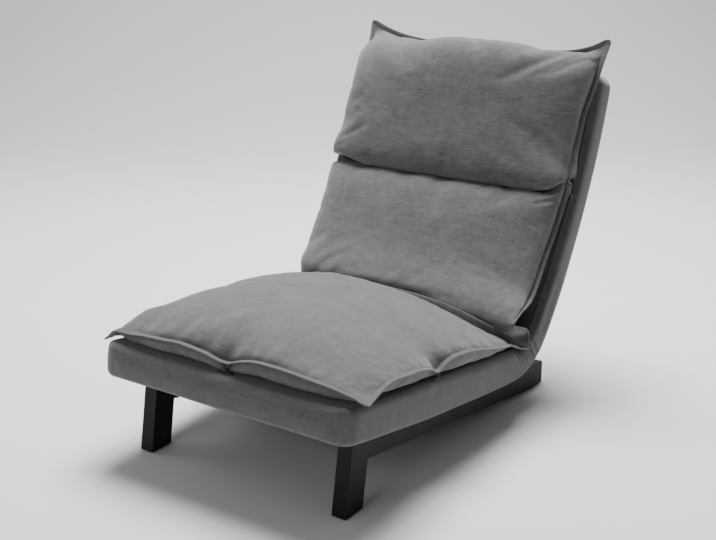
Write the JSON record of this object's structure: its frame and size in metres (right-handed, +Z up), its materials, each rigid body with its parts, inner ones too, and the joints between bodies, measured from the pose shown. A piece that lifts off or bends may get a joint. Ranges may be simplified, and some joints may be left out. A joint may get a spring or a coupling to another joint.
{
  "type": "floor chair",
  "caption": "Low upholstered chair with pillow cushions on a padded slab, short front legs, sloping side rails and a ratchet-hinged reclining back.",
  "frame": {"origin": "on the floor under the middle of the chair's bounding box, with the back in the pictured position", "axes": "+Z up, the front of the chair faces -Y, +X across the seat towards the sitter's left, mirror plane at X = 0"},
  "size_m": [0.644, 1.0582, 0.7911],
  "materials": {
    "black_steel": "satin",
    "black_plastic": "matte",
    "frame_steel": "satin",
    "zinc_steel": "satin",
    "hinge_steel": "satin",
    "spring_steel": "satin",
    "elastic_strap": "matte",
    "foam": "matte",
    "slab_fabric": "matte",
    "cushion_fabric": "matte",
    "tie_fabric": "matte",
    "dust_cloth": "matte"
  },
  "bodies": {
    "base": {"leg_left": "black_steel", "leg_right": "black_steel", "rail_left": "black_steel", "rail_right": "black_steel", "front_crossbar": "black_steel", "rear_crossbar": "black_steel", "leg_glides": "black_plastic", "rail_end_caps": "black_plastic", "seat_frame": "frame_steel", "seat_straps": "elastic_strap", "seat_foam": "foam", "seat_cover": "slab_fabric", "seat_dust_cloth": "dust_cloth", "seat_bolts": "zinc_steel", "seat_nuts": "zinc_steel", "seat_cushion": "cushion_fabric", "seat_cushion_ties": "tie_fabric", "hinge_plate_left": "hinge_steel", "hinge_plate_right": "hinge_steel", "hinge_pivots": "zinc_steel"},
    "back": {"back_frame": "frame_steel", "back_straps": "elastic_strap", "back_foam": "foam", "back_cover": "slab_fabric", "lumbar_cushion": "cushion_fabric", "head_cushion": "cushion_fabric", "back_cushion_ties": "tie_fabric", "hinge_arm_left": "hinge_steel", "hinge_arm_right": "hinge_steel", "pawl_pins": "zinc_steel", "pawl_springs": "spring_steel"},
    "pawl_left": {"pawl_left": "hinge_steel"},
    "pawl_right": {"pawl_right": "hinge_steel"}
  },
  "joints": [
    {"name": "recline", "type": "hinge", "parent": "base", "child": "back", "pos_m": [0, 0.16112, 0.124], "axis": [-1, 0, 0], "range_deg": [-15, 50]},
    {"name": "pawl_left_lock", "type": "hinge", "parent": "back", "child": "pawl_left", "pos_m": [-0.253, 0.19453, 0.12463], "axis": [1, 0, 0], "range_deg": [0, 7.5], "deforming": ["pawl_springs"]},
    {"name": "pawl_right_lock", "type": "hinge", "parent": "back", "child": "pawl_right", "pos_m": [0.253, 0.19453, 0.12463], "axis": [1, 0, 0], "range_deg": [0, 7.5]}
  ],
  "couplings": [
    {"joint": "pawl_right_lock", "follows": "pawl_left_lock", "ratio": 1}
  ]
}
